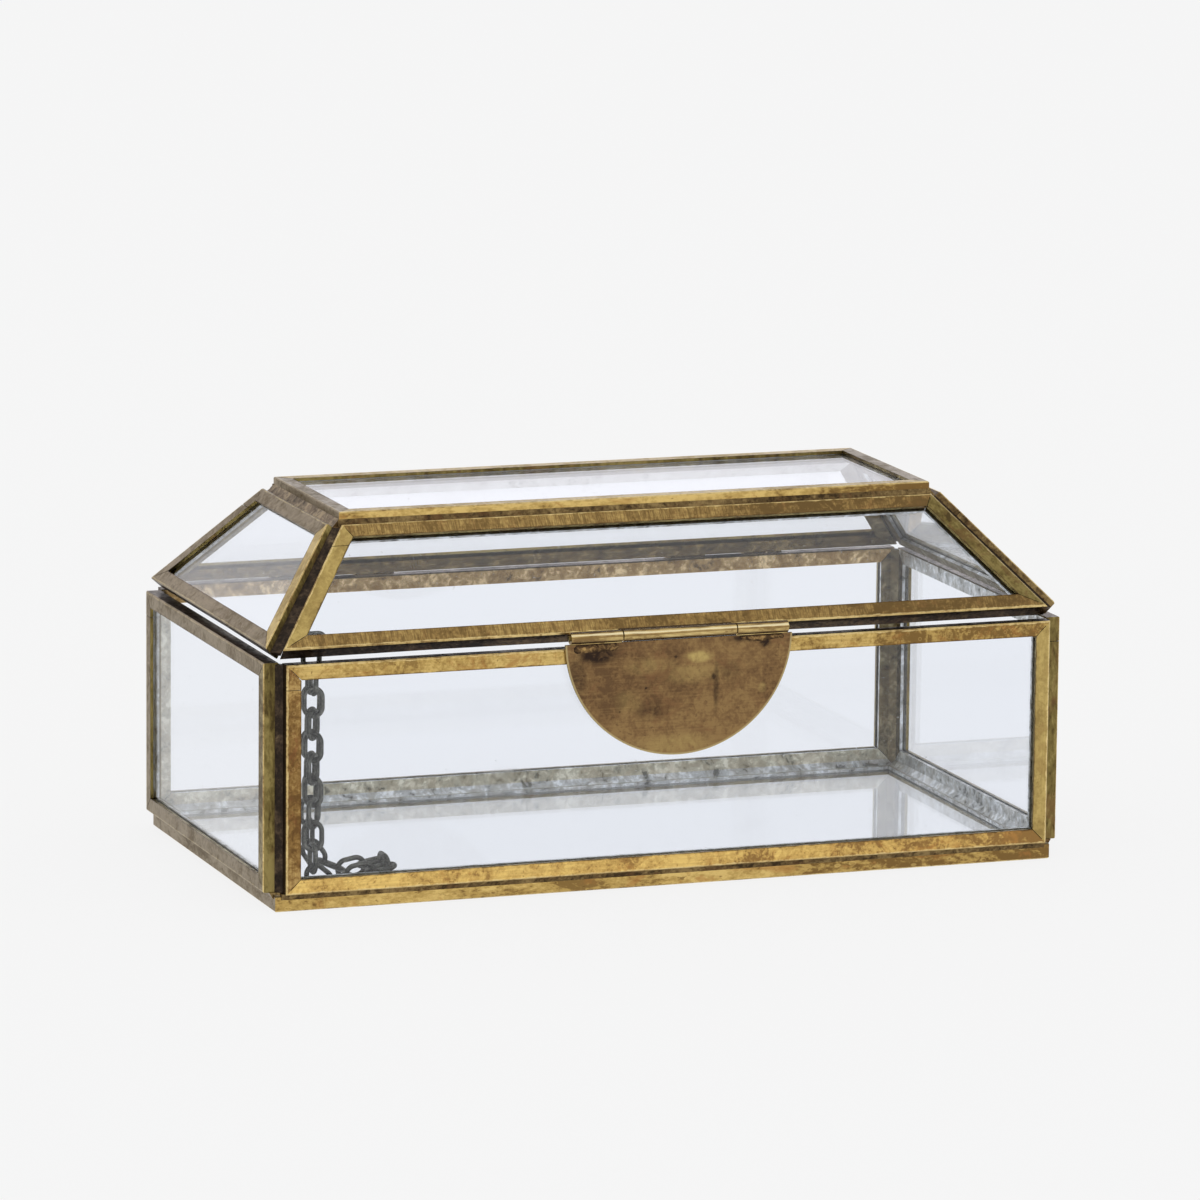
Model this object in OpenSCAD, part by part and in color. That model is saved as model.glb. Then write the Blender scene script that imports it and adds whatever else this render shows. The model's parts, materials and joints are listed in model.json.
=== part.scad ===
// Glass keepsake box: glazed panes held in folded brass channel, soldered at the
// corners, with a hipped lid on two tube hinges, a swinging half-round clasp flap
// and a fine lid stay chain.
// +X is the box's right, -Y its front with the clasp, +Z up.
// The origin is the middle of the base's underside.

/* [Box] */
// Width over the left and right walls
box_w = 200; // [180:1:230]
// Depth over the front and back walls
box_d = 104; // [94:1:124]
// Height of the wall frames' upper edge
wall_top = 58.8; // [52:0.1:70]
// Height of the closed box
box_h = 89.3; // [85:0.1:102]

/* [Channel and glass] */
// Thickness of the folded channel, from face to face
came_t = 3.8; // [3.6:0.1:3.9]
// Width of the channel's flanges, seen from the front
face_w = 3.6; // [3:0.1:4.5]
// Thickness of the brass sheet the channel is folded from
sheet = 0.8; // [0.7:0.05:0.9]
// Thickness of the glass panes
glass_t = 2; // [1.8:0.1:2.2]
// Thickness of the base's channel
base_t = 3.8; // [3.6:0.1:4]

/* [Lid] */
// Slit between the walls and the closed lid
lid_gap = 0.8; // [0.6:0.05:1.6]
// How far the front and back slopes lean in, lower edge to upper edge
run_front = 22.4; // [20:0.1:25]
// How far the left and right slopes lean in
run_side = 21.75; // [19:0.1:25]

/* [Hinges and clasp] */
// Outside diameter of the hinge and clasp tubes
tube_d = 2.8; // [2.4:0.1:3]
// Diameter of the pins
pin_d = 1.3; // [1:0.1:1.4]
// Length of one lid hinge
hinge_l = 30.3; // [24:0.1:40]
// Distance of each lid hinge from the middle
hinge_x = 51; // [40:1:65]
// Radius of the clasp flap
flap_r = 28.4; // [24:0.1:32]
// Thickness of the clasp flap
flap_t = 0.6; // [0.5:0.05:0.8]

/* [Chain] */
// Wire diameter of the links and eyes
wire_d = 1.2; // [1:0.05:1.2]
// Width over a link
link_w = 5.4; // [5:0.1:5.6]

/* [Part] */
// Which piece to draw

/* [Hidden] */
$fn = 64;
eps = 0.01;
play = 0.1;
rail_fold = 0.28;
stile_fold = 0.24;
kerf = 0.14;

half_w = box_w / 2;
half_d = box_d / 2;
seam = 0.6;
corner_gap = 0.5;
wall_low = base_t + seam;
wall_h = wall_top - wall_low;
front_half = half_w - came_t - corner_gap;
side_half = half_d - came_t - corner_gap;
base_set = 2.4;
base_half_w = half_w - base_set;
base_half_d = half_d - base_set;
base_lip = (base_t - glass_t - 2 * play) / 2;

top_step = 2.55;
top_low = box_h - came_t;
front_edge = half_d - 2.2;
side_edge = half_w - 0.85;
lid_low = wall_top + lid_gap + 0.677 * came_t;
lid_rise = box_h - top_step - lid_low;
front_slant = norm([run_front, lid_rise]);
side_slant = norm([run_side, lid_rise]);
front_lean = atan2(lid_rise, run_front);
side_lean = atan2(lid_rise, run_side);
front_top = front_edge - run_front;
side_top = side_edge - run_side;
front_lo = side_edge - 3.3;
front_hi = side_top - 3;
side_lo = front_edge - 3.15;
side_hi = front_top - 1.9;
top_half_w = side_top - 2.8;
top_half_d = front_top - 1.85;

tube_r = tube_d / 2;
bore_d = pin_d + 0.1;
joint_gap = 0.3;
hinge_axis = [half_d + 0.5, wall_top + 1.5];
hinge_part = hinge_l / 3;
clasp_axis = [-half_d - 0.5, wall_top + 2.6];
clasp_l = 54.4;
clasp_mid_l = 28.5;
clasp_shift = 0.7;
flap_back = -half_d - 0.25;
flap_top = clasp_axis.y - 1.6;
flap_centre = flap_top + 0.8;

grip = wire_d + play;
bow = (link_w - wire_d) / 2;
eye_in = 12.7;
eye_back = 6.8;
eye_drop = 2.9;
eye_at = [-half_w + eye_in, -half_d + eye_back, wall_top - eye_drop];
end_room = 4.76;
floor_room = 0.54;
drop = eye_at.z - (base_t + glass_t) / 2 - floor_room - end_room;
strand = round(drop / 5.3);
pitch = drop / strand;
reach = pitch + grip;
run_a = 3;
run_b = 2;
bends_b = 3;
run_tilt = 10;
lean_b = 2.3;
first_b = strand + 1 + run_a + 1 + run_b + bends_b;
link_count = first_b + strand - 1;
eye_w = 4.8;
eye_bow = 1.2;
end_gap = 0.4;

// ---- helpers ----

function unit(v) = v / norm(v);

function spin(v, axis, deg) =
    v * cos(deg) + cross(axis, v) * sin(deg) + axis * (axis * v) * (1 - cos(deg));

// Outline of a pane's frame, counter-clockwise from its lower left corner
function outline(lo, hi, len) = [[-lo, 0], [lo, 0], [hi, len], [-hi, len]];

function inward(a, b) = let (d = unit(b - a)) [-d.y, d.x];

// The same outline moved inwards by d on every side
function inset(p, d) = [
    for (i = [0:len(p) - 1])
        let (
            n = len(p),
            m0 = inward(p[(i + n - 1) % n], p[i]),
            m1 = inward(p[i], p[(i + 1) % n])
        )
        p[i] + d * (m0 + m1) / (1 + m0 * m1)
];

// Position on a lid slope, in the plane square to its edge: v up the slope from
// the lower outer edge, w outwards from its outer face
function on_slope(edge, lean, v, w) =
    [-edge + v * cos(lean) - w * sin(lean), lid_low + v * sin(lean) + w * cos(lean)];

function on_front(v, w) = on_slope(front_edge, front_lean, v, w);

function round_axis(c, deg) = c + tube_r * [cos(deg), sin(deg)];

// Long prism along X over a profile given as [y, z]
module bar(profile, half) {
    rotate([90, 0, 90])
        linear_extrude(2 * half, center = true)
            polygon(profile);
}

module rod(d, l, at, x = 0) {
    translate([x - l / 2, at.x, at.y])
        rotate([0, 90, 0])
            cylinder(d = d, h = l);
}

// ---- channel frames and panes ----

module slit(a, b) {
    m = inward(a, b) * kerf / 2;
    polygon([a + m, b + m, b - m, a - m]);
}

// Channel folded round a pane; its outer face lies at z = 0, with mitred flanges
// and one butt seam across the left stile
module came(p, t) {
    lip = (t - glass_t - 2 * play) / 2;
    n = len(p);
    web = inset(p, sheet);
    mitre = inset(p, sheet + 0.3);
    window = inset(p, face_w);
    over = inset(p, face_w + 0.3);
    seam_v = p[3].y - 6;
    difference() {
        translate([0, 0, -t])
            linear_extrude(t)
                polygon(p);
        translate([0, 0, lip - t])
            linear_extrude(t - 2 * lip)
                polygon(web);
        translate([0, 0, -t - 1])
            linear_extrude(t + 2)
                polygon(window);
        for (i = [0:n - 1]) {
            along = p[(i + 1) % n] - p[i];
            f = i % 2 == 0 ? rail_fold : stile_fold;
            for (z = [0, -t])
                translate([p[i].x, p[i].y, z])
                    rotate([0, 0, atan2(along.y, along.x)])
                        rotate([90, 0, 90])
                            translate([0, 0, -1])
                                linear_extrude(norm(along) + 2)
                                    polygon([[f, 0], [0, f], [-f, 0], [0, -f]]);
            translate([0, 0, -t - 1])
                linear_extrude(t + 2)
                    slit(mitre[i], over[i]);
        }
        translate([-p[1].x - 1, seam_v, -t - 1])
            cube([p[1].x - p[2].x + face_w * 2 + 2, kerf, t + 2]);
    }
}

module pane(p, t) {
    translate([0, 0, -(t + glass_t) / 2])
        linear_extrude(glass_t)
            polygon(inset(p, sheet + 2 * play));
}

// Turns the front's place to another side of the box
module facing(turn) {
    rotate([0, 0, turn])
        children();
}

module on_wall(edge) {
    translate([0, -edge, wall_low])
        rotate([90, 0, 0])
            children();
}

module up_slope(edge, lean) {
    translate([0, -edge, lid_low])
        rotate([lean, 0, 0])
            children();
}

front_wall = outline(front_half, front_half, wall_h);
side_wall = outline(side_half, side_half, wall_h);
front_slope = outline(front_lo, front_hi, front_slant);
side_slope = outline(side_lo, side_hi, side_slant);
base_plate = outline(base_half_w, base_half_w, 2 * base_half_d);
top_plate = outline(top_half_w, top_half_w, 2 * top_half_d);

// ---- solder ----

// Solder along an upright corner, between the ends of two wall frames
module corner_seam() {
    x = half_w - came_t;
    y = half_d - came_t;
    fill = 1;
    leg = 1.1;
    translate([0, 0, base_t])
        linear_extrude(wall_top - base_t - 0.4)
            polygon([
                [-front_half, -y - fill],
                [-front_half, -y],
                [-front_half + leg, -y],
                [-x, -side_half + leg],
                [-x, -side_half],
                [-x - fill, -side_half]
            ]);
}

// Solder between the foot of a wall and the base's frame
module foot_seam(inner, base_edge, half) {
    bar([
        [-inner, wall_low + 0.8],
        [-inner, wall_low],
        [-inner - 2.4, wall_low],
        [-base_edge, base_t - 1],
        [-base_edge, base_t],
        [-inner + 1.2, base_t]
    ], half);
}

// Solder along one hip of the lid, between a front and a side slope
module hip_seam() {
    depth = [-0.7 * came_t, -0.4 * came_t];
    over = 0.25;
    front_pts = [
        for (v = [0, front_slant + over], w = depth)
            let (q = on_slope(front_edge, front_lean, v, w))
            [-front_lo + (front_lo - front_hi) * v / front_slant, q.x, q.y]
    ];
    side_pts = [
        for (v = [0, side_slant + over], w = depth)
            let (q = on_slope(side_edge, side_lean, v, w))
            [q.x, -side_lo + (side_lo - side_hi) * v / side_slant, q.y]
    ];
    hull()
        polyhedron(
            concat(front_pts, side_pts),
            [
                [0, 1, 3], [0, 3, 2], [4, 7, 5], [4, 6, 7],
                [0, 4, 5], [0, 5, 1], [2, 3, 7], [2, 7, 6],
                [1, 5, 7], [1, 7, 3], [0, 2, 6], [0, 6, 4]
            ]
        );
}

// Solder between the upper edge of a slope and the top frame
module ridge_seam(edge, lean, slant, top_edge, half) {
    bar([
        [-top_edge, box_h - 1.7],
        [-top_edge, top_low],
        [-top_edge + 1.1, top_low],
        on_slope(edge, lean, slant, -came_t),
        on_slope(edge, lean, slant, -0.4 * came_t)
    ], half);
}

// ---- chain ----

// Link number i turns by [axis, degrees] against the one before it
function bend(i) =
    i == strand + 1 || i == strand + 2 ? [[0, -1, 0], (90 + run_tilt) / 2]
    : i == strand + run_a + 2 || i == strand + run_a + 3
        ? [[-sin(run_tilt), 0, cos(run_tilt)], 90]
    : i > first_b - bends_b && i <= first_b ? [[0, 1, 0], (90 + run_tilt) / bends_b]
    : i == first_b + 1 ? [[1, 0, 0], lean_b]
    : [[1, 0, 0], 0];

// The hanging strands' links stand at 45 degrees to the walls
function twist(i) =
    i == 2 || i == 3 || i == first_b + 2 || i == first_b + 3 ? 22.5
    : i == strand - 1 || i == strand ? -22.5
    : 0;

// A link is [middle of its near bar, direction, normal of its plane]
function next_link(i, f) =
    let (
        far = f[0] + reach * f[1],
        b = bend(i),
        flat = spin(f[2], f[1], 90 + twist(i)),
        dir = spin(f[1], b[0], b[1]),
        easy = abs(b[0] * flat) > abs(b[0] * f[2])
    )
    [far - grip * (easy ? dir : f[1]), dir, spin(flat, b[0], b[1])];

first_link = [eye_at + [0, 0, grip], [0, 0, -1], [1, 0, 0]];

links = [
    for (i = 1, f = first_link; i <= link_count; f = next_link(i + 1, f), i = i + 1) f
];

last_link = links[link_count - 1];
lid_eye_at = last_link[0] + (reach + wire_d + end_gap) * last_link[1];

module link(i) {
    f = links[i - 1];
    u = f[1];
    n = f[2];
    s = cross(n, u);
    m = f[0] + reach / 2 * u;
    straight = reach / 2 - bow;
    multmatrix([
        [u.x, s.x, n.x, m.x],
        [u.y, s.y, n.y, m.y],
        [u.z, s.z, n.z, m.z]
    ])
        for (side = [-1, 1]) {
            translate([side * straight, 0, 0])
                rotate([0, 0, side == 1 ? -90 : 90])
                    rotate_extrude(angle = 180)
                        translate([bow, 0])
                            circle(d = wire_d);
            translate([-straight, side * bow, 0])
                rotate([0, 90, 0])
                    cylinder(d = wire_d, h = 2 * straight);
        }
}

// Wire staple with its bar along X through the origin and its legs towards -Y
module staple(leg) {
    arm = eye_w / 2 - eye_bow;
    translate([-arm, 0, 0])
        rotate([0, 90, 0])
            cylinder(d = wire_d, h = 2 * arm);
    for (side = [-1, 1]) {
        translate([side * arm, -eye_bow, 0])
            rotate([0, 0, side == 1 ? 0 : 90])
                rotate_extrude(angle = 90)
                    translate([eye_bow, 0])
                        circle(d = wire_d);
        translate([side * eye_w / 2, -leg, 0])
            rotate([-90, 0, 0])
                cylinder(d = wire_d, h = leg - eye_bow);
    }
}

module eye_foot() {
    for (side = [-1, 1])
        translate([side * eye_w / 2, 0, 0])
            rotate([-90, 0, 0])
                cylinder(d1 = 2, d2 = wire_d, h = 0.8);
}

// ---- the box ----

module front_frame() {
    color("#b08d3c") facing(0) on_wall(half_d) came(front_wall, came_t);
}

module back_frame() {
    color("#b08d3c") facing(180) on_wall(half_d) came(front_wall, came_t);
}

module left_frame() {
    color("#b08d3c") facing(-90) on_wall(half_w) came(side_wall, came_t);
}

module right_frame() {
    color("#b08d3c") facing(90) on_wall(half_w) came(side_wall, came_t);
}

module base_frame() {
    color("#b08d3c")
        translate([0, -base_half_d, base_t])
            came(base_plate, base_t);
}

module front_glass() {
    color("#cfd6e6", 0.35) facing(0) on_wall(half_d) pane(front_wall, came_t);
}

module back_glass() {
    color("#cfd6e6", 0.35) facing(180) on_wall(half_d) pane(front_wall, came_t);
}

module left_glass() {
    color("#cfd6e6", 0.35) facing(-90) on_wall(half_w) pane(side_wall, came_t);
}

module right_glass() {
    color("#cfd6e6", 0.35) facing(90) on_wall(half_w) pane(side_wall, came_t);
}

module base_glass() {
    color("#cfd6e6", 0.35)
        translate([0, -base_half_d, base_t])
            pane(base_plate, base_t);
}

module box_solder() {
    inner_d = half_d - came_t;
    inner_w = half_w - came_t;
    color("#7d8176") {
        for (mx = [0, 1], my = [0, 1])
            mirror([mx, 0, 0])
                mirror([0, my, 0])
                    corner_seam();
        for (turn = [0, 180])
            facing(turn)
                foot_seam(inner_d, base_half_d, inner_w);
        for (turn = [-90, 90])
            facing(turn)
                foot_seam(inner_w, base_half_w, inner_d);
    }
}

// Outer knuckles of both lid hinges, webbed down to the back rail
module hinge_knuckles_box() {
    l = hinge_part - joint_gap / 2;
    web = [
        [half_d - 1.3, wall_top],
        [half_d, wall_top],
        [half_d, wall_top - 1.6],
        round_axis(hinge_axis, -20),
        hinge_axis,
        round_axis(hinge_axis, 200)
    ];
    color("#a5823a")
        for (x = [-hinge_x, hinge_x], side = [-1, 1])
            difference() {
                union() {
                    rod(tube_d, l, hinge_axis, x + side * (hinge_l - l) / 2);
                    translate([x + side * (hinge_l - l) / 2, 0, 0])
                        bar(web, l / 2);
                }
                rod(bore_d, l + 1, hinge_axis, x + side * (hinge_l - l) / 2);
            }
}

module hinge_pins() {
    color("#8f7436")
        for (x = [-hinge_x, hinge_x])
            rod(pin_d, hinge_l + 0.8, hinge_axis, x);
}

module chain_eye_box() {
    leg = half_d - came_t + eye_at.y;
    color("#7f826c")
        translate(eye_at) {
            staple(leg);
            translate([0, -leg, 0])
                eye_foot();
        }
}

// ---- the lid ----

module lid_front_frame() {
    color("#b08d3c")
        facing(0) up_slope(front_edge, front_lean) came(front_slope, came_t);
}

module lid_back_frame() {
    color("#b08d3c")
        facing(180) up_slope(front_edge, front_lean) came(front_slope, came_t);
}

module lid_left_frame() {
    color("#b08d3c")
        facing(-90) up_slope(side_edge, side_lean) came(side_slope, came_t);
}

module lid_right_frame() {
    color("#b08d3c")
        facing(90) up_slope(side_edge, side_lean) came(side_slope, came_t);
}

module lid_top_frame() {
    color("#b08d3c")
        translate([0, -top_half_d, box_h])
            came(top_plate, came_t);
}

module lid_front_glass() {
    color("#cfd6e6", 0.35)
        facing(0) up_slope(front_edge, front_lean) pane(front_slope, came_t);
}

module lid_back_glass() {
    color("#cfd6e6", 0.35)
        facing(180) up_slope(front_edge, front_lean) pane(front_slope, came_t);
}

module lid_left_glass() {
    color("#cfd6e6", 0.35)
        facing(-90) up_slope(side_edge, side_lean) pane(side_slope, came_t);
}

module lid_right_glass() {
    color("#cfd6e6", 0.35)
        facing(90) up_slope(side_edge, side_lean) pane(side_slope, came_t);
}

module lid_top_glass() {
    color("#cfd6e6", 0.35)
        translate([0, -top_half_d, box_h])
            pane(top_plate, came_t);
}

module lid_solder() {
    color("#7d8176") {
        for (mx = [0, 1], my = [0, 1])
            mirror([mx, 0, 0])
                mirror([0, my, 0])
                    hip_seam();
        for (turn = [0, 180])
            facing(turn)
                ridge_seam(front_edge, front_lean, front_slant, top_half_d, front_hi + 0.5);
        for (turn = [-90, 90])
            facing(turn)
                ridge_seam(side_edge, side_lean, side_slant, top_half_w, side_hi);
    }
}

// Middle knuckles of the lid hinges, webbed to the lower edge of the back slope
module hinge_knuckles_lid() {
    l = hinge_part - joint_gap;
    edge = on_front(0, 0);
    inner = on_front(0, -0.6 * came_t);
    web = [
        [-edge.x, edge.y],
        [-inner.x, inner.y],
        round_axis(hinge_axis, 215),
        hinge_axis,
        round_axis(hinge_axis, 100)
    ];
    color("#a5823a")
        for (x = [-hinge_x, hinge_x])
            difference() {
                union() {
                    rod(tube_d, l, hinge_axis, x);
                    translate([x, 0, 0])
                        bar(web, l / 2);
                }
                rod(bore_d, l + 1, hinge_axis, x);
            }
}

// Long middle knuckle of the clasp, soldered to the lower edge of the front slope
module clasp_knuckle_lid() {
    l = clasp_mid_l - joint_gap;
    web = [
        on_front(0.5, 0),
        on_front(0, 0),
        on_front(0, -0.6 * came_t),
        round_axis(clasp_axis, -50),
        clasp_axis,
        clasp_axis + [0.43, 0.39]
    ];
    color("#a5823a")
        difference() {
            union() {
                rod(tube_d, l, clasp_axis, clasp_shift);
                translate([clasp_shift, 0, 0])
                    bar(web, l / 2);
            }
            rod(bore_d, l + 1, clasp_axis, clasp_shift);
        }
}

module chain_eye_lid() {
    rail = on_front(0.55 * face_w, -came_t);
    tilt = atan2(lid_eye_at.z - rail.y, lid_eye_at.y - rail.x);
    leg = norm([lid_eye_at.z - rail.y, lid_eye_at.y - rail.x]);
    color("#7f826c") {
        difference() {
            translate(lid_eye_at)
                rotate([tilt, 0, 0])
                    staple(leg + 2);
            up_slope(front_edge, front_lean)
                translate([-front_lo, -5, -came_t])
                    cube([30, 20, 10]);
        }
        translate([lid_eye_at.x, rail.x, rail.y])
            rotate([front_lean - 90, 0, 0])
                eye_foot();
    }
}

// ---- the clasp flap ----

module flap_plate() {
    color("#b08d3c")
        translate([0, flap_back, 0])
            rotate([90, 0, 0])
                intersection() {
                    translate([clasp_shift, flap_centre, 0])
                        cylinder(r = flap_r, h = flap_t, $fn = 180);
                    translate([clasp_shift - flap_r - 1, flap_top - flap_r - 2, -1])
                        cube([2 * flap_r + 2, flap_r + 2, flap_t + 2]);
                }
}

module flap_knuckles() {
    l = (clasp_l - clasp_mid_l) / 2 - joint_gap / 2;
    color("#a5823a")
        for (side = [-1, 1]) {
            x = clasp_shift + side * (clasp_l - l) / 2;
            difference() {
                union() {
                    rod(tube_d, l, clasp_axis, x);
                    translate([x - l / 2, flap_back - flap_t, flap_top])
                        cube([l, flap_t, clasp_axis.y - flap_top]);
                }
                rod(bore_d, l + 1, clasp_axis, x);
            }
        }
}

module flap_pin() {
    color("#8f7436")
        rod(pin_d, clasp_l + 0.8, clasp_axis, clasp_shift);
}

// Solder blobs that hold the outer knuckles on the plate
module flap_solder() {
    r = 1.45;
    l = 9;
    sink = 0.85;
    at = [flap_back - flap_t + sink, flap_top - 1.1];
    color("#8d8f84")
        for (side = [-1, 1]) {
            x = clasp_shift + side * (clasp_l + clasp_mid_l) / 4;
            intersection() {
                union() {
                    rod(2 * r, l, at, x);
                    for (end = [-1, 1])
                        translate([x + end * l / 2, at.x, at.y])
                            sphere(r = r);
                }
                translate([x - l, flap_back - flap_t - 2 * r, at.y - 2 * r])
                    cube([2 * l, 2 * r, 4 * r]);
            }
        }
}

module chain_link(i) {
    color("#84866e") link(i);
}

function link_name(i) = str("link_", i);

front_frame();
back_frame();
left_frame();
right_frame();
base_frame();
front_glass();
back_glass();
left_glass();
right_glass();
base_glass();
box_solder();
hinge_knuckles_box();
hinge_pins();
chain_eye_box();
lid_front_frame();
lid_back_frame();
lid_left_frame();
lid_right_frame();
lid_top_frame();
lid_front_glass();
lid_back_glass();
lid_left_glass();
lid_right_glass();
lid_top_glass();
lid_solder();
hinge_knuckles_lid();
clasp_knuckle_lid();
chain_eye_lid();
flap_plate();
flap_knuckles();
flap_pin();
flap_solder();
for (i = [1:link_count])
    chain_link(i);
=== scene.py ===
import json
import math

import bmesh
import bpy
from mathutils import Matrix, Vector, geometry, noise


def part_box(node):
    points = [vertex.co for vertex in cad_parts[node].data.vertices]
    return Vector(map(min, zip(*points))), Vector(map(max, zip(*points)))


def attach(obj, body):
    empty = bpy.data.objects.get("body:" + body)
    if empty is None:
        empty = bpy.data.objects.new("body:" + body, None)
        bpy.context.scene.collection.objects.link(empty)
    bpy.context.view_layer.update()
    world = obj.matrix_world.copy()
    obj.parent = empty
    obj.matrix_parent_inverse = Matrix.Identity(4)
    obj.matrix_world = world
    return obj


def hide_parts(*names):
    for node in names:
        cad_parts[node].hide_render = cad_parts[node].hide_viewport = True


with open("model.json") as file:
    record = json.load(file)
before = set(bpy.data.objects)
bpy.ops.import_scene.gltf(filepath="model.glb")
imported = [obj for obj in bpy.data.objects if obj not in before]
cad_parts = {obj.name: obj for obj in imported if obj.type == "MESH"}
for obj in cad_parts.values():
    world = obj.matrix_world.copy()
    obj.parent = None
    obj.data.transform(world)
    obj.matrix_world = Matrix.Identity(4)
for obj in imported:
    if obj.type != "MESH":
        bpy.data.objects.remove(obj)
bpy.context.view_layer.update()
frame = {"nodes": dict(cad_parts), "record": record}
nodes = frame["nodes"]
bodyOf = {
    node: body
    for body, members in frame["record"]["behaviour"]["bodies"].items()
    for node in members
}
print("frame loaded:", len(nodes), "nodes")

# helpers for node trees
def newGroup(name, inputs, outputs):
    group = bpy.data.node_groups.new(name, "ShaderNodeTree")
    for label, kind, value in inputs:
        socket = group.interface.new_socket(label, in_out="INPUT", socket_type=kind)
        socket.default_value = value
    for label, kind in outputs:
        group.interface.new_socket(label, in_out="OUTPUT", socket_type=kind)
    start = group.nodes.new("NodeGroupInput")
    end = group.nodes.new("NodeGroupOutput")
    return group, start.outputs, end.inputs


def clouds(tree, vector, scale, detail=4, roughness=0.6, distortion=0):
    node = tree.nodes.new("ShaderNodeTexNoise")
    node.inputs["Scale"].default_value = scale
    node.inputs["Detail"].default_value = detail
    node.inputs["Roughness"].default_value = roughness
    node.inputs["Distortion"].default_value = distortion
    tree.links.new(vector, node.inputs["Vector"])
    return node.outputs["Fac"]


def mapped(tree, vector, scale=(1, 1, 1), shift=(0, 0, 0)):
    node = tree.nodes.new("ShaderNodeMapping")
    node.inputs["Scale"].default_value = scale
    node.inputs["Location"].default_value = shift
    tree.links.new(vector, node.inputs["Vector"])
    return node.outputs["Vector"]


def ramp(tree, value, stops):
    node = tree.nodes.new("ShaderNodeValToRGB")
    elements = node.color_ramp.elements
    while len(elements) < len(stops):
        elements.new(0.5)
    for element, (at, colour) in zip(elements, stops):
        element.position = at
        element.color = (*colour, 1)
    tree.links.new(value, node.inputs["Fac"])
    return node.outputs["Color"]


def spread(tree, value, low, high, toLow=0.0, toHigh=1.0, kind="SMOOTHSTEP"):
    node = tree.nodes.new("ShaderNodeMapRange")
    node.interpolation_type = kind
    for label, number in (("From Min", low), ("From Max", high), ("To Min", toLow), ("To Max", toHigh)):
        node.inputs[label].default_value = number
    tree.links.new(value, node.inputs["Value"])
    return node.outputs["Result"]


def sums(tree, operation, a, b):
    node = tree.nodes.new("ShaderNodeMath")
    node.operation = operation
    for value, socket in ((a, node.inputs[0]), (b, node.inputs[1])):
        if isinstance(value, (int, float)):
            socket.default_value = value
        else:
            tree.links.new(value, socket)
    return node.outputs[0]


def times(tree, a, b):
    return sums(tree, "MULTIPLY", a, b)


def weighted(tree, values, weights):
    total = None
    for value, weight in zip(values, weights):
        part = times(tree, value, weight)
        total = part if total is None else sums(tree, "ADD", total, part)
    return total


def blendColours(tree, factor, a, b):
    node = tree.nodes.new("ShaderNodeMix")
    node.data_type = "RGBA"
    if isinstance(factor, (int, float)):
        node.inputs[0].default_value = factor
    else:
        tree.links.new(factor, node.inputs[0])
    for value, socket in ((a, node.inputs[6]), (b, node.inputs[7])):
        if isinstance(value, tuple):
            socket.default_value = (*value, 1)
        else:
            tree.links.new(value, socket)
    return node.outputs[2]


def splitVector(tree, vector):
    node = tree.nodes.new("ShaderNodeSeparateXYZ")
    tree.links.new(vector, node.inputs[0])
    return node.outputs["X"], node.outputs["Y"], node.outputs["Z"]


# camera, as the photograph was taken
cameraSetup = {
    "azimuth": -19.91,
    "elevation": 10.67,
    "roll": 0.58,
    "target": (-0.01894, -0.05199, 0.07011),
    "distance": 1.8097,
    "lens": 232.1,
    "sensor": 36,
    "clip": (0.05, 20),
}


def makeCamera(setup):
    data = bpy.data.cameras.new("camera")
    data.sensor_width = setup["sensor"]
    data.sensor_fit = "HORIZONTAL"
    data.lens = setup["lens"]
    data.clip_start, data.clip_end = setup["clip"]
    camera = bpy.data.objects.new("camera", data)
    bpy.context.scene.collection.objects.link(camera)
    a = math.radians(setup["azimuth"])
    e = math.radians(setup["elevation"])
    r = math.radians(setup["roll"])
    back = Vector((math.sin(a) * math.cos(e), -math.cos(a) * math.cos(e), math.sin(e)))
    right = Vector((math.cos(a), math.sin(a), 0))
    up = back.cross(right)
    tiltedRight = right * math.cos(r) + up * math.sin(r)
    tiltedUp = up * math.cos(r) - right * math.sin(r)
    place = Vector(setup["target"]) + back * setup["distance"]
    turn = Matrix((tiltedRight, tiltedUp, back)).transposed().to_4x4()
    camera.matrix_world = Matrix.Translation(place) @ turn
    bpy.context.scene.camera = camera


makeCamera(cameraSetup)

# studio: a light tent, a pale floor and one large soft light
studio = {
    "paper": (0.913, 0.913, 0.913),
    "floorTone": (0.075, 0.075, 0.075),  # the part of the floor's tone that dims in shadow
    "floorGlow": 0.93,  # strength of the part that doesn't
    "floorSize": 12.0,
    "tent": [  # height of the direction, tone of the tent there
        (0.0, (0.35, 0.35, 0.37)),
        (0.5, (1.1, 1.1, 1.17)),
        (0.6, (1.14, 1.13, 1.21)),
        (0.68, (0.98, 0.98, 0.99)),
        (0.84, (0.88, 0.88, 0.88)),
        (1.0, (0.60, 0.60, 0.61)),
    ],
    "softPlace": (-0.2, -0.4, 2.2),
    "softSize": (2.6, 2.6),
    "softPower": 6.0,
}


def makeTent(setup):
    # the camera sees plain paper, also through glass, and reflections see the tent
    scene = bpy.context.scene
    scene.view_settings.view_transform = "Standard"
    scene.view_settings.look = "None"
    world = bpy.data.worlds.new("lightTent")
    world.use_nodes = True
    tree = world.node_tree
    _, _, up = splitVector(tree, tree.nodes.new("ShaderNodeTexCoord").outputs["Generated"])
    tones = ramp(tree, spread(tree, up, -1, 1, kind="LINEAR"), setup["tent"])
    path = tree.nodes.new("ShaderNodeLightPath").outputs
    seen = sums(tree, "MAXIMUM", path["Is Camera Ray"], path["Is Transmission Ray"])
    colour = blendColours(tree, seen, tones, setup["paper"])
    tree.links.new(colour, tree.nodes["Background"].inputs["Color"])
    scene.world = world


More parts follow.
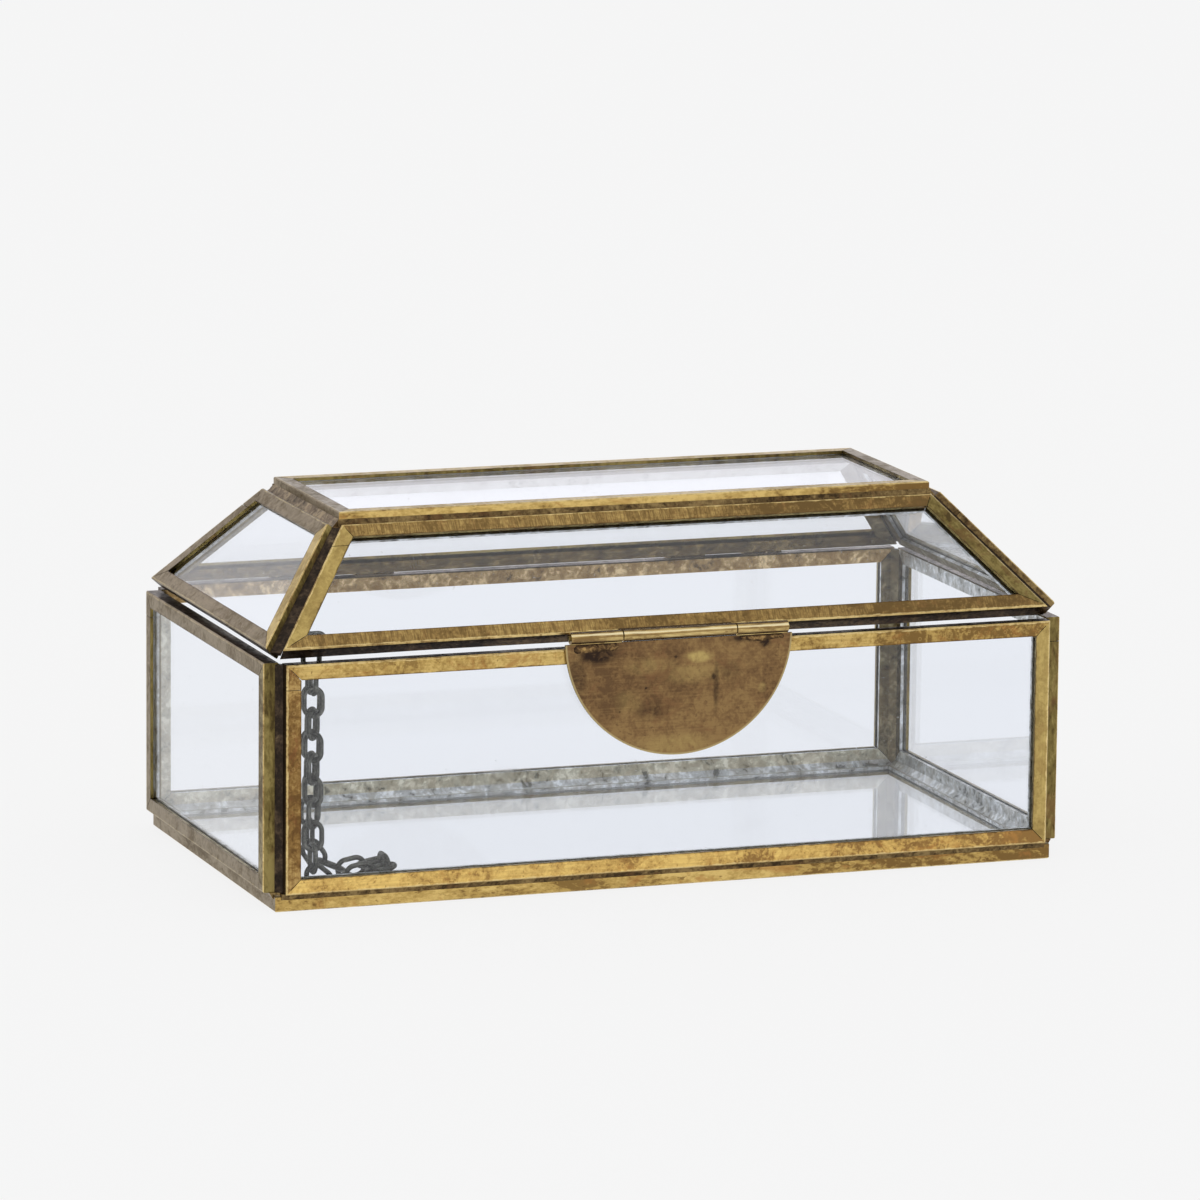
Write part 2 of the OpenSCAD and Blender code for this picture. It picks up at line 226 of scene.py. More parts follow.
def makeFloor(setup):
    bm = bmesh.new()
    bmesh.ops.create_grid(bm, x_segments=1, y_segments=1, size=setup["floorSize"] / 2)
    mesh = bpy.data.meshes.new("floor")
    bm.to_mesh(mesh)
    bm.free()
    floor = bpy.data.objects.new("floor", mesh)
    bpy.context.scene.collection.objects.link(floor)
    material = bpy.data.materials.new("palePaper")
    material.use_nodes = True
    shader = material.node_tree.nodes["Principled BSDF"]
    shader.inputs["Base Color"].default_value = (*setup["floorTone"], 1)
    shader.inputs["Roughness"].default_value = 0.9
    shader.inputs["Specular IOR Level"].default_value = 0.0
    shader.inputs["Emission Color"].default_value = (*setup["paper"], 1)
    shader.inputs["Emission Strength"].default_value = setup["floorGlow"]
    mesh.materials.append(material)


def softLight(setup):
    data = bpy.data.lights.new("softTop", "AREA")
    data.shape = "RECTANGLE"
    data.size, data.size_y = setup["softSize"]
    data.energy = setup["softPower"]
    lamp = bpy.data.objects.new("softTop", data)
    bpy.context.scene.collection.objects.link(lamp)
    lamp.location = setup["softPlace"]
    lamp.rotation_euler = (-lamp.location).to_track_quat("-Z", "Y").to_euler()


makeTent(studio)
makeFloor(studio)
softLight(studio)
print("studio ready")


# noises are given as scale, detail, roughness, distortion, and ranges as from, to,
# followed by the values at both ends where these aren't 0 and 1
patinaSetup = {
    "broad": (38, 4, 0.6, 0.7),
    "mottle": (260, 6, 0.7, 0.8),
    "fine": (1150, 3, 0.65),
    "shares": (0.36, 0.4, 0.24),  # of these three in the level
    "levels": (0.42, 0.575),
    "tarnishDepth": 0.9,
    "toMiddle": (0.0, 0.5),
    "toLight": (0.45, 1.0),
    "reddish": (120, 5, 0.7, 1.2),
    "reddishPlace": (3.1, 1.7, 0.4),
    "reddishRange": (0.53, 0.66, 0, 0.6),
    "ringScale": 640,
    "ringChoice": (0.66, 0.72),
    "ringInside": (0.16, 0.22),
    "ringOutside": (0.26, 0.36, 1, 0),
    "ringPaleness": 0.55,
    "pits": (900, 2, 0.5, 0.3),
    "pitRange": (0.66, 0.74),
    "pitDarkness": 0.75,
    "roughness": (0.0, 1.0, 0.5, 0.3),
    "pitRoughness": 0.2,
    "heights": (1.0, 0.5, -0.6, 0.3),  # of mottle, fine, pits and rings
}


def patinaGroup(setup):
    # brass that has aged: three tones, a reddish fourth, dark pits and pale rings
    group, given, out = newGroup(
        "agedPatina",
        [
            ("Vector", "NodeSocketVector", (0, 0, 0)),
            ("Tarnish", "NodeSocketFloat", 0.5),
            ("Light", "NodeSocketColor", (0.60, 0.42, 0.17, 1)),
            ("Middle", "NodeSocketColor", (0.42, 0.28, 0.10, 1)),
            ("Dark", "NodeSocketColor", (0.14, 0.08, 0.03, 1)),
            ("Warm", "NodeSocketColor", (0.32, 0.14, 0.05, 1)),
            ("Spots", "NodeSocketFloat", 0.5),
        ],
        [("Color", "NodeSocketColor"), ("Roughness", "NodeSocketFloat"), ("Height", "NodeSocketFloat")],
    )
    vector = given["Vector"]
    broad, mottle, fine = [clouds(group, vector, *setup[name]) for name in ("broad", "mottle", "fine")]
    mixed = weighted(group, (broad, mottle, fine), setup["shares"])
    level = spread(group, mixed, *setup["levels"], kind="LINEAR")
    tarnish = times(group, sums(group, "SUBTRACT", given["Tarnish"], 0.5), setup["tarnishDepth"])
    worn = sums(group, "SUBTRACT", level, tarnish)
    low = blendColours(group, spread(group, worn, *setup["toMiddle"]), given["Dark"], given["Middle"])
    high = blendColours(group, spread(group, worn, *setup["toLight"]), low, given["Light"])
    moved = mapped(group, vector, shift=setup["reddishPlace"])
    reddish = spread(group, clouds(group, moved, *setup["reddish"]), *setup["reddishRange"])
    toned = blendColours(group, reddish, high, given["Warm"])
    pale = blendColours(group, setup["ringPaleness"], toned, given["Light"])
    cells = group.nodes.new("ShaderNodeTexVoronoi")
    cells.inputs["Scale"].default_value = setup["ringScale"]
    group.links.new(vector, cells.inputs["Vector"])
    red, _, _ = splitVector(group, cells.outputs["Color"])
    chosen = times(group, spread(group, red, *setup["ringChoice"]), given["Spots"])
    inside = spread(group, cells.outputs["Distance"], *setup["ringInside"])
    outside = spread(group, cells.outputs["Distance"], *setup["ringOutside"])
    rings = times(group, times(group, inside, outside), chosen)
    ringed = blendColours(group, rings, toned, pale)
    pitted = spread(group, clouds(group, vector, *setup["pits"]), *setup["pitRange"])
    pits = times(group, pitted, setup["pitDarkness"])
    rough = spread(group, worn, *setup["roughness"])
    group.links.new(blendColours(group, pits, ringed, given["Dark"]), out["Color"])
    group.links.new(sums(group, "ADD", rough, times(group, pits, setup["pitRoughness"])), out["Roughness"])
    group.links.new(weighted(group, (mottle, fine, pits, rings), setup["heights"]), out["Height"])
    return group


marksSetup = {
    "fineSize": (3000, 0.9, 1),  # noise cells to a metre along the rail, then over its width
    "wideSize": (700, 0.7, 1),
    "fine": (1, 2, 0.7),
    "wide": (1, 3, 0.7),
    "shares": (0.62, 0.38),
    "range": (0.40, 0.60),
}


def marksGroup(setup):
    # fine file marks across a rail, read along the rail's own map
    group, given, out = newGroup(
        "fileMarks",
        [("Rail", "NodeSocketVector", (0, 0, 0)), ("Depth", "NodeSocketFloat", 0.5)],
        [("Shade", "NodeSocketFloat"), ("Height", "NodeSocketFloat")],
    )
    fine = clouds(group, mapped(group, given["Rail"], setup["fineSize"]), *setup["fine"])
    wide = clouds(group, mapped(group, given["Rail"], setup["wideSize"]), *setup["wide"])
    both = weighted(group, (fine, wide), setup["shares"])
    group.links.new(times(group, spread(group, both, *setup["range"]), given["Depth"]), out["Shade"])
    group.links.new(both, out["Height"])
    return group


wearAndHighlightSetup = {
    "ragged": (420, 4, 0.7),
    "wobble": (0.3, 0.7, -0.06, 0.06),
    # painted highlight: a narrow band at the worn outer fold
    "rim": (0.06, 0.15, 1, 0),  # across the rail: 0 at the outer fold, 1 at the pane
    "grime": (0.9, 1.0),
    "streakSize": (130, 5.5, 1),
    "streak": (1, 4, 0.65, 0.4),
    "streakRange": (0.36, 0.64),
}


def wearAndHighlightGroup(setup):
    # painted highlight on the worn outer fold, and grime along the pane, from the distance across the rail
    group, given, out = newGroup(
        "railWearAndHighlight",
        [("Rail", "NodeSocketVector", (0, 0, 0)), ("Vector", "NodeSocketVector", (0, 0, 0))],
        [("Rim", "NodeSocketFloat"), ("Grime", "NodeSocketFloat"), ("Streaks", "NodeSocketFloat")],
    )
    _, across, _ = splitVector(group, given["Rail"])
    ragged = clouds(group, given["Vector"], *setup["ragged"])
    shifted = sums(group, "ADD", across, spread(group, ragged, *setup["wobble"], kind="LINEAR"))
    streaks = clouds(group, mapped(group, given["Rail"], setup["streakSize"]), *setup["streak"])
    group.links.new(spread(group, shifted, *setup["rim"]), out["Rim"])
    group.links.new(spread(group, shifted, *setup["grime"]), out["Grime"])
    group.links.new(spread(group, streaks, *setup["streakRange"]), out["Streaks"])
    return group


tinSetup = {
    "broad": (150, 5, 0.65, 1.0),
    "cells": (560, 4, 0.62, 0.6),
    "shares": (0.5, 0.5),
    "toGrey": (0.36, 0.47),
    "toSilver": (0.48, 0.6),
    "bare": (210, 5, 0.7, 0.8),
    "barePlace": (1.3, 5.2, 2.2),
    "bareRange": (0.44, 0.58),
    "roughness": (0.34, 0.62, 0.58, 0.36),
    "heights": (0.6, 0.6),
}


def tinGroup(setup):
    # solder washed over the inside faces: cloudy silver with brown where brass shows
    group, given, out = newGroup(
        "tinWash",
        [
            ("Vector", "NodeSocketVector", (0, 0, 0)),
            ("Silver", "NodeSocketColor", (0.90, 0.87, 0.72, 1)),
            ("Grey", "NodeSocketColor", (0.60, 0.57, 0.44, 1)),
            ("Dark", "NodeSocketColor", (0.22, 0.21, 0.16, 1)),
            ("Brass", "NodeSocketColor", (0.36, 0.25, 0.11, 1)),
            ("Bare", "NodeSocketFloat", 0.4),
        ],
        [("Color", "NodeSocketColor"), ("Roughness", "NodeSocketFloat"), ("Height", "NodeSocketFloat")],
    )
    vector = given["Vector"]
    noises = [clouds(group, vector, *setup[name]) for name in ("broad", "cells")]
    mixed = weighted(group, noises, setup["shares"])
    low = blendColours(group, spread(group, mixed, *setup["toGrey"]), given["Dark"], given["Grey"])
    high = blendColours(group, spread(group, mixed, *setup["toSilver"]), low, given["Silver"])
    moved = mapped(group, vector, shift=setup["barePlace"])
    bare = spread(group, clouds(group, moved, *setup["bare"]), *setup["bareRange"])
    colour = blendColours(group, times(group, bare, given["Bare"]), high, given["Brass"])
    group.links.new(colour, out["Color"])
    group.links.new(spread(group, mixed, *setup["roughness"]), out["Roughness"])
    group.links.new(weighted(group, noises, setup["heights"]), out["Height"])
    return group


patina = patinaGroup(patinaSetup)
fileMarks = marksGroup(marksSetup)
railWearAndHighlight = wearAndHighlightGroup(wearAndHighlightSetup)
tinWash = tinGroup(tinSetup)

# tones are light, middle, dark, reddish
goldTones = ((0.70, 0.50, 0.175), (0.50, 0.335, 0.105), (0.22, 0.13, 0.042), (0.40, 0.19, 0.055))
brightTones = ((0.86, 0.60, 0.19), (0.66, 0.43, 0.13), (0.30, 0.17, 0.055), (0.50, 0.25, 0.07))
warmTones = ((0.50, 0.33, 0.12), (0.27, 0.155, 0.05), (0.15, 0.08, 0.028), (0.24, 0.10, 0.04))
paleTones = ((0.54, 0.40, 0.14), (0.43, 0.31, 0.105), (0.31, 0.215, 0.072), (0.39, 0.26, 0.09))
oliveTones = ((0.29, 0.225, 0.08), (0.18, 0.135, 0.044), (0.085, 0.058, 0.022), (0.19, 0.10, 0.042))
# painted shade: a darker copy of the brass for the lid's sloped faces, for the dimmer light they reflect
shadedSlopeTones = ((0.52, 0.355, 0.125), (0.38, 0.245, 0.085), (0.17, 0.105, 0.038), (0.31, 0.165, 0.06))
# painted shade: a darker, greyer copy of the brass, used mainly on faces turned to the left
shadedTaupeTones = ((0.23, 0.17, 0.09), (0.18, 0.132, 0.066), (0.125, 0.088, 0.042), (0.165, 0.11, 0.052))
# painted highlight on worn brass: the bright chamfers along the outer folds, also the base of the rolled
# tubes
rubbedHighlightTones = ((0.70, 0.54, 0.24), (0.52, 0.375, 0.15), (0.24, 0.15, 0.06), (0.44, 0.27, 0.10))
# dirt and painted shade: near-black brown for end and web faces in the gaps between parts
sootAndShadeTones = ((0.12, 0.076, 0.036), (0.058, 0.035, 0.018), (0.024, 0.015, 0.009), (0.075, 0.035, 0.016))
lineTones = ((0.26, 0.18, 0.075), (0.13, 0.085, 0.036), (0.05, 0.032, 0.016), (0.13, 0.065, 0.028))
# painted highlight on worn brass: the bright line along a rail's outer fold, and a paler one for the darker
# rails
brightRimHighlight = (0.82, 0.64, 0.29)
paleRimHighlight = (0.50, 0.40, 0.21)
brownGrime = (0.085, 0.05, 0.025)

# darker toward the right: from one x to another, by how much
rightFade = (0.0, 0.085, 0.62)
lidFade = (-0.03, 0.08, 0.7)


def newMaterial(name):
    material = bpy.data.materials.new(name)
    material.use_nodes = True
    tree = material.node_tree
    shader = tree.nodes["Principled BSDF"]
    where = tree.nodes.new("ShaderNodeTexCoord").outputs
    return material, tree, shader, where


def placeGroup(tree, group, **values):
    node = tree.nodes.new("ShaderNodeGroup")
    node.node_tree = group
    for label, value in values.items():
        node.inputs[label].default_value = (*value, 1) if isinstance(value, tuple) else value
    return node


def addBump(tree, shader, height, strength, distance):
    node = tree.nodes.new("ShaderNodeBump")
    node.inputs["Strength"].default_value = strength
    node.inputs["Distance"].default_value = distance
    tree.links.new(height, node.inputs["Height"])
    tree.links.new(node.outputs["Normal"], shader.inputs["Normal"])


brassWearAndHighlight = {
    "bump": (0.35, 0.00012),  # strength, distance
    "markHeight": 1.2,
    "rimStrength": 0.85,
    "grimeStrength": 0.8,
}


def brassTree(name, tones, tarnish=0.5, spots=0.4, fade=None, stretch=(1, 1, 1), gloss=1.0):
    # a brass material up to its patina, whose colour and height are still to be linked
    material, tree, shader, where = newMaterial(name)
    light, middle, dark, warm = tones
    aged = placeGroup(
        tree, patina, Tarnish=tarnish, Light=light, Middle=middle, Dark=dark, Warm=warm, Spots=spots
    )
    place = where["Object"]
    if fade:
        x, _, _ = splitVector(tree, place)
        fadeStart, fadeEnd, added = fade
        faded = spread(tree, x, fadeStart, fadeEnd, tarnish, tarnish + added)
        tree.links.new(faded, aged.inputs["Tarnish"])
    tree.links.new(mapped(tree, place, stretch), aged.inputs["Vector"])
    shader.inputs["Metallic"].default_value = 1.0
    tree.links.new(times(tree, aged.outputs["Roughness"], gloss), shader.inputs["Roughness"])
    return material, tree, shader, where, aged.outputs


def agedBrass(name, **recipe):
    material, tree, shader, _, aged = brassTree(name, **recipe)
    tree.links.new(aged["Color"], shader.inputs["Base Color"])
    addBump(tree, shader, aged["Height"], *brassWearAndHighlight["bump"])
    return material


def railBrass(name, tones, rim=brightRimHighlight, marks=0.0, streaks=0.3, **recipe):
    # a rail's face: patina, streaks along it, file marks across it, a worn rim painted bright as a
    # highlight, and grime
    material, tree, shader, where, aged = brassTree(name, tones, **recipe)
    dark = tones[2]
    wearAndHighlight = placeGroup(tree, railWearAndHighlight)
    tree.links.new(where["UV"], wearAndHighlight.inputs["Rail"])
    tree.links.new(where["Object"], wearAndHighlight.inputs["Vector"])
    colour = blendColours(tree, times(tree, wearAndHighlight.outputs["Streaks"], streaks), aged["Color"], dark)
    height = aged["Height"]
    if marks:
        filed = placeGroup(tree, fileMarks, Depth=marks)
        tree.links.new(where["UV"], filed.inputs["Rail"])
        colour = blendColours(tree, filed.outputs["Shade"], colour, dark)
        height = weighted(tree, (height, filed.outputs["Height"]), (1.0, brassWearAndHighlight["markHeight"]))
    # painted highlight: the worn outer rim is lightened toward the rim tone
    rubbed = times(tree, wearAndHighlight.outputs["Rim"], brassWearAndHighlight["rimStrength"])
    grimy = times(tree, wearAndHighlight.outputs["Grime"], brassWearAndHighlight["grimeStrength"])
    colour = blendColours(tree, rubbed, colour, rim)
    colour = blendColours(tree, grimy, colour, brownGrime)
    tree.links.new(colour, shader.inputs["Base Color"])
    addBump(tree, shader, height, *brassWearAndHighlight["bump"])
    return material


def tinned(name, bare, silver, grey, dark, brass):
    material, tree, shader, where = newMaterial(name)
    wash = placeGroup(tree, tinWash, Bare=bare, Silver=silver, Grey=grey, Dark=dark, Brass=brass)
    tree.links.new(where["Object"], wash.inputs["Vector"])
    tree.links.new(wash.outputs["Color"], shader.inputs["Base Color"])
    tree.links.new(wash.outputs["Roughness"], shader.inputs["Roughness"])
    shader.inputs["Metallic"].default_value = 0.9
    addBump(tree, shader, wash.outputs["Height"], 0.45, 0.00025)
    return material


def lumpyMetal(name, setup):
    material, tree, shader, where = newMaterial(name)
    scale = setup["scale"]
    lumps = clouds(tree, where["Object"], scale, 4, 0.62, 0.5)
    fine = clouds(tree, where["Object"], scale * setup["finer"], 3, 0.6)
    both = weighted(tree, (lumps, fine), setup["shares"])
    tree.links.new(ramp(tree, both, setup["stops"]), shader.inputs["Base Color"])
    tree.links.new(spread(tree, both, *setup["roughness"]), shader.inputs["Roughness"])
    shader.inputs["Metallic"].default_value = setup["metallic"]
    addBump(tree, shader, both, 0.5, setup["bumpSize"])
    return material


railFinishes = {
    "boxBrass": {"tones": goldTones, "tarnish": 0.28, "spots": 0.5, "fade": rightFade},
    "footBrass": {"tones": brightTones, "tarnish": 0.36, "spots": 0.45, "fade": rightFade},
    "warmStile": {"tones": warmTones, "tarnish": 0.4, "spots": 0.9, "streaks": 0.35},
    "goldStile": {"tones": paleTones, "tarnish": 0.35, "spots": 0.3, "streaks": 0.35},
    "smoothGold": {"tones": paleTones, "tarnish": 0.22, "spots": 0.05, "streaks": 0.15},
    "filedGold": {"tones": paleTones, "tarnish": 0.3, "spots": 0.1, "marks": 0.8},
    # painted shade: the lid's sloped rails are darker for the dimmer light on them; their file marks are
    # real
    "shadedLidRail": {"tones": shadedSlopeTones, "tarnish": 0.28, "spots": 0.05, "marks": 0.8, "fade": lidFade},
    "oliveStile": {"tones": oliveTones, "rim": paleRimHighlight, "tarnish": 0.4, "spots": 0.15, "streaks": 0.25},
    # painted shade: rails turned to the left take the darker taupe copy of the brass
    "shadedTaupeRail": {"tones": shadedTaupeTones, "rim": paleRimHighlight, "tarnish": 0.4, "spots": 0.1},
}
plainFinishes = {
    # painted highlight: chamfers on the outer folds, worn and bright where the light catches them
    "rubbedHighlightFold": {"tones": rubbedHighlightTones, "tarnish": 0.4, "spots": 0.2},
    "lineBrown": {"tones": lineTones, "tarnish": 0.45, "spots": 0.2},
    # painted shade: folds of the taupe rails, darker like the rails themselves
    "shadedTaupeFold": {"tones": shadedTaupeTones, "tarnish": 0.2, "spots": 0.1},
    # dirt and painted shade on end and web faces in the gaps
    "seamDirtAndShade": {"tones": sootAndShadeTones, "tarnish": 0.5, "spots": 0.3},
    "boxWeb": {
        "tones": goldTones,
        "tarnish": 0.36,
        "spots": 0.8,
        "fade": rightFade,
        "stretch": (0.5, 1, 1),
    },
    "oliveWeb": {"tones": oliveTones, "tarnish": 0.35, "spots": 0.2, "stretch": (1, 1, 0.4)},
    # painted shade: web faces turned to the left
    "shadedTaupeWeb": {"tones": shadedTaupeTones, "tarnish": 0.45, "spots": 0.1, "stretch": (1, 0.5, 1)},
    "pinBrass": {"tones": oliveTones, "tarnish": 0.6, "spots": 0.2},
}
tinFinishes = {
    # how much brass shows, then the silver, grey, dark and brass tones
    "tinSilver": (0.3, (0.90, 0.87, 0.72), (0.60, 0.57, 0.44), (0.22, 0.21, 0.16), (0.36, 0.25, 0.11)),
    "tinBright": (0.2, (0.97, 0.96, 0.93), (0.88, 0.87, 0.83), (0.5, 0.49, 0.45), (0.66, 0.6, 0.5)),
    "tinWarm": (0.7, (0.95, 0.74, 0.42), (0.52, 0.35, 0.15), (0.18, 0.115, 0.05), (0.32, 0.185, 0.055)),
    "tinBrown": (0.6, (0.26, 0.19, 0.08), (0.12, 0.083, 0.033), (0.04, 0.028, 0.014), (0.13, 0.08, 0.025)),
    "tinDark": (0.5, (0.33, 0.28, 0.165), (0.17, 0.135, 0.07), (0.05, 0.04, 0.024), (0.16, 0.105, 0.04)),
    "tinGrey": (0.3, (0.92, 0.95, 0.97), (0.60, 0.62, 0.62), (0.2, 0.205, 0.195), (0.3, 0.25, 0.15)),
}
lumpyFinishes = {
    "oldSolder": {
        "stops": [
            (0.3, (0.012, 0.009, 0.007)),
            (0.48, (0.03, 0.02, 0.013)),
            (0.6, (0.075, 0.05, 0.03)),
            (0.74, (0.22, 0.16, 0.085)),
        ],
        "scale": 240,
        "finer": 5,  # the fine noise's scale, as a multiple
        "shares": (0.62, 0.38),
        "roughness": (0.3, 0.7, 0.55, 0.36),
        "metallic": 0.85,
        "bumpSize": 0.0004,
    },
    "chainWire": {
        "stops": [(0.32, (0.03, 0.03, 0.025)), (0.5, (0.10, 0.10, 0.083)), (0.66, (0.24, 0.235, 0.20))],
        "scale": 300,
        "finer": 5,
        "shares": (0.62, 0.38),
        "roughness": (0.3, 0.7, 0.55, 0.36),
        "metallic": 0.8,
        "bumpSize": 0.0001,
    },
}

finishes = {name: railBrass(name, **recipe) for name, recipe in railFinishes.items()}
finishes.update({name: agedBrass(name, **recipe) for name, recipe in plainFinishes.items()})
finishes.update({name: tinned(name, *recipe) for name, recipe in tinFinishes.items()})
finishes.update({name: lumpyMetal(name, recipe) for name, recipe in lumpyFinishes.items()})


tubeSetup = {
    "raggedSize": (60, 700, 700),
    "ragged": (1, 3, 0.6),
    "wobble": (0.3, 0.7, -0.12, 0.12),
    # painted bands by how far the surface looks up: -1 is its underside, 1 its top; shade underneath and
    # along the top, a dark reflection at the waist, a highlight above it
    "under": (-0.72, -0.3, 0.95, 0),
    "crownShade": (0.8, 0.93, 0, 0.9),
    "darkReflectionBand": ((0.0, 0.12), (0.22, 0.34, 1, 0)),  # fades in, fades out
    "highlightBand": ((0.36, 0.46), (0.62, 0.74, 1, 0)),
    "darkReflectionBandTone": (0.22, 0.135, 0.045),
    "highlightBandTone": (0.95, 0.82, 0.50),
    "shadeTone": (0.07, 0.04, 0.02),
    "strength": 0.85,
}


def tubeBrass(setup):
    # rolled tube: a painted highlight along its upper front, a painted dark reflection below it, and
    # painted shade underneath and along the top
    material, tree, shader, where, aged = brassTree(
        "tubeBrass", rubbedHighlightTones, tarnish=0.5, spots=0.2, stretch=(0.3, 1, 1), gloss=0.6
    )
    _, _, up = splitVector(tree, where["Normal"])
    ragged = clouds(tree, mapped(tree, where["Object"], setup["raggedSize"]), *setup["ragged"])
    level = sums(tree, "ADD", up, spread(tree, ragged, *setup["wobble"], kind="LINEAR"))
    colour = aged["Color"]
    # painted highlight and dark reflection bands, set by which way the surface faces
    for band in ("highlightBand", "darkReflectionBand"):
        fadeIn, fadeOut = setup[band]
        mask = times(tree, spread(tree, level, *fadeIn), spread(tree, level, *fadeOut))
        colour = blendColours(tree, times(tree, mask, setup["strength"]), colour, setup[band + "Tone"])
    # painted shade underneath and along the top
    under = spread(tree, level, *setup["under"])
    crownShade = spread(tree, level, *setup["crownShade"])
    colour = blendColours(tree, sums(tree, "MAXIMUM", under, crownShade), colour, setup["shadeTone"])
    tree.links.new(colour, shader.inputs["Base Color"])
    addBump(tree, shader, aged["Height"], *brassWearAndHighlight["bump"])
    return material


glassSetup = {
    "tint": (0.935, 0.952, 0.985),
    "index": 1.45,
    "dust": (900, 2, 0.5),
    "dustRange": (0.70, 0.78, 0.0, 0.25),  # range, then the roughness it adds
    "smudges": (40, 4, 0.6, 0.5),
    "smudgeRange": (0.52, 0.75, 0.0, 0.06),
    "ripples": (12, 2, 0.5),
    "bump": (0.03, 0.0005),
}


def paneGlass(setup):
    # clear, faintly lavender, with slow ripples and a little dust
    material, tree, shader, where = newMaterial("clearGlass")
    place = where["Object"]
    shader.inputs["Base Color"].default_value = (*setup["tint"], 1)
    shader.inputs["Metallic"].default_value = 0.0
    shader.inputs["Transmission Weight"].default_value = 1.0
    shader.inputs["IOR"].default_value = setup["index"]
    dust = spread(tree, clouds(tree, place, *setup["dust"]), *setup["dustRange"])
    smudges = spread(tree, clouds(tree, place, *setup["smudges"]), *setup["smudgeRange"])
    tree.links.new(sums(tree, "ADD", dust, smudges), shader.inputs["Roughness"])
    addBump(tree, shader, clouds(tree, place, *setup["ripples"]), *setup["bump"])
    return material


flapSetup = {
    "tones": ((0.28, 0.175, 0.072), (0.205, 0.12, 0.052), (0.14, 0.08, 0.038), (0.215, 0.11, 0.05)),
    "gold": (0.52, 0.39, 0.14),
    "stain": (0.035, 0.022, 0.016),
    "rim": (0.46, 0.36, 0.17),
    "rimRange": (0.981, 0.99, 0, 0.8),  # in plate radii from its centre
    "levelSize": (38, 38, 2200),
    "level": (1, 3, 0.75),
    "uprightSize": (1300, 40, 40),
    "uprightPlace": (5, 0, 0),
    "upright": (1, 3, 0.7),
    "brushShares": (0.85, 0.15),
    "brushLight": (0.5, 0.66, 0, 0.4),
    "brushDark": (0.5, 0.34, 0, 0.4),
    "ragged": (330, 5, 0.7, 0.8),
    "raggedRange": (0.36, 0.6, 0.45, 1.25),
    "spotEdge": (0.0, 0.7),
    "heights": (0.6, 1.0),  # of the patina and the brushing
    "bump": (0.3, 0.0001),
    # brighter and stained places, the strongest bright one a painted highlight: across and down the plate,
    # half width, half height, strength
    "goldSpots": [
        (0.17, 0.16, 0.16, 0.07, 0.7),
        (-0.25, 0.22, 0.30, 0.10, 0.22),
        (-0.45, 0.52, 0.16, 0.14, 0.15),
        (0.74, 0.46, 0.05, 0.06, 0.3),
        (-0.05, 0.90, 0.45, 0.12, 0.28),
        (0.10, 0.30, 0.34, 0.12, 0.2),
    ],
    "stainSpots": [
        (-0.72, 0.10, 0.24, 0.10, 0.9),
        (-0.90, 0.28, 0.12, 0.22, 0.55),
        (0.64, 0.02, 0.30, 0.05, 0.8),
        (0.76, 0.07, 0.07, 0.06, 0.9),
        (0.33, 0.42, 0.035, 0.30, 0.5),
        (0.31, 0.34, 0.03, 0.05, 0.7),
        (-0.24, 0.60, 0.2, 0.12, 0.35),
        (0.46, 0.3, 0.12, 0.12, 0.3),
        (-0.29, 0.405, 0.016, 0.016, 1.0),
        (-0.03, 0.15, 0.02, 0.02, 0.8),
        (-0.52, 0.60, 0.014, 0.014, 0.7),
    ],
}


def flapSpots(tree, place, spots, edge):
    # soft ovals on the plate, as one mask
    low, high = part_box("flap_plate")
    middleX, halfPlate, plateHeight = (low.x + high.x) / 2, (high.x - low.x) / 2, high.z - low.z
    mask = None
    for across, down, halfWide, halfTall, strength in spots:
        x, z = middleX + across * halfPlate, high.z - down * plateHeight
        wide, tall = 1 / (halfWide * halfPlate), 1 / (halfTall * plateHeight)
        ball = tree.nodes.new("ShaderNodeTexGradient")
        ball.gradient_type = "SPHERICAL"
        local = mapped(tree, place, (wide, 0, tall), (-x * wide, 0, -z * tall))
        tree.links.new(local, ball.inputs["Vector"])
        spot = spread(tree, ball.outputs["Fac"], *edge, 0, strength)
        mask = spot if mask is None else sums(tree, "MAXIMUM", mask, spot)
    return mask


def flapBrass(setup):
    # the half-round plate: wiped brown patina, brushed level, with gold places, the strongest a painted
    # highlight, and stained places
    low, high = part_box("flap_plate")
    middleX, radius = (low.x + high.x) / 2, (high.x - low.x) / 2
    centreZ = low.z + radius
    light, _, dark, _ = setup["tones"]
    material, tree, shader, where, aged = brassTree("flapBrass", setup["tones"], tarnish=0.45, spots=0.1)
    place = where["Object"]
    level = clouds(tree, mapped(tree, place, setup["levelSize"]), *setup["level"])
    upright = mapped(tree, place, setup["uprightSize"], setup["uprightPlace"])
    brushed = weighted(tree, (level, clouds(tree, upright, *setup["upright"])), setup["brushShares"])
    colour = blendColours(tree, spread(tree, brushed, *setup["brushLight"]), aged["Color"], light)
    colour = blendColours(tree, spread(tree, brushed, *setup["brushDark"]), colour, dark)
    ragged = spread(tree, clouds(tree, place, *setup["ragged"]), *setup["raggedRange"])
    # gold places, partly a painted highlight, then stains
    for tone in ("gold", "stain"):
        mask = times(tree, flapSpots(tree, place, setup[tone + "Spots"], setup["spotEdge"]), ragged)
        colour = blendColours(tree, sums(tree, "MINIMUM", mask, 1.0), colour, setup[tone])
    length = tree.nodes.new("ShaderNodeVectorMath")
    length.operation = "LENGTH"
    scale = 1 / radius
    fromCentre = mapped(tree, place, (scale, 0, scale), (-middleX * scale, 0, -centreZ * scale))
    tree.links.new(fromCentre, length.inputs[0])
    rubbed = spread(tree, length.outputs["Value"], *setup["rimRange"])
    tree.links.new(blendColours(tree, rubbed, colour, setup["rim"]), shader.inputs["Base Color"])
    addBump(tree, shader, weighted(tree, (aged["Height"], brushed), setup["heights"]), *setup["bump"])
    return material


